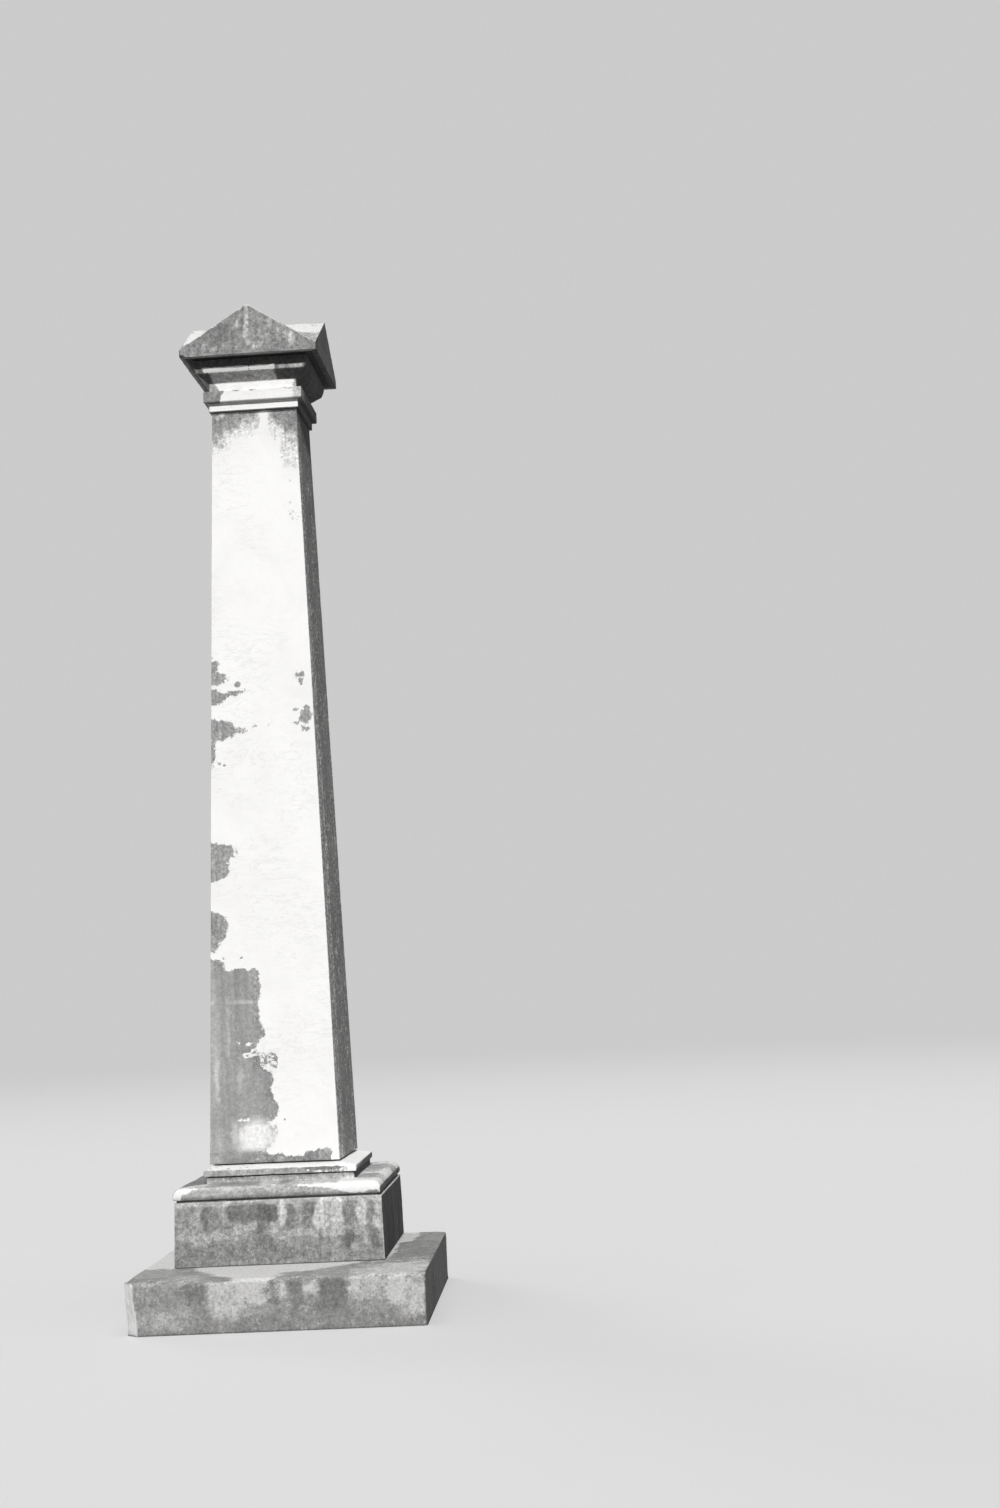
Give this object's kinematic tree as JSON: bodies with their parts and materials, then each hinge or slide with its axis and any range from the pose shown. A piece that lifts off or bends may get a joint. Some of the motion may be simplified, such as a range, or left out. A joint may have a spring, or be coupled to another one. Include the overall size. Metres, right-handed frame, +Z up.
{
  "type": "stone obelisk",
  "caption": "Tapered white marble obelisk with a cross-gabled cap and moulded neck, on a plinth, a bullnose base moulding and a square die over a rough slab.",
  "frame": {"origin": "centre of the slab's foot, at ground level", "axes": "+Z up along the shaft, +X to the right and +Y to the back, seen from the front face"},
  "size_m": [1.045, 1.089, 3.774],
  "materials": {
    "marble": "weathered white marble with grey stains",
    "slab_stone": "rough, worn and lichened",
    "mortar": "dark weathered lime mortar"
  },
  "bodies": {
    "root": {"base_slab": "slab_stone", "slab_bed": "mortar", "die_block": "marble", "die_bed": "mortar", "base_moulding": "marble", "moulding_bed": "mortar", "shaft_plinth": "marble", "plinth_bed": "mortar", "shaft": "marble", "shaft_bed": "mortar", "neck_band": "marble", "neck_bed": "mortar", "bed_mould": "marble", "cap_bed": "mortar", "gabled_cap": "marble"}
  },
  "joints": []
}
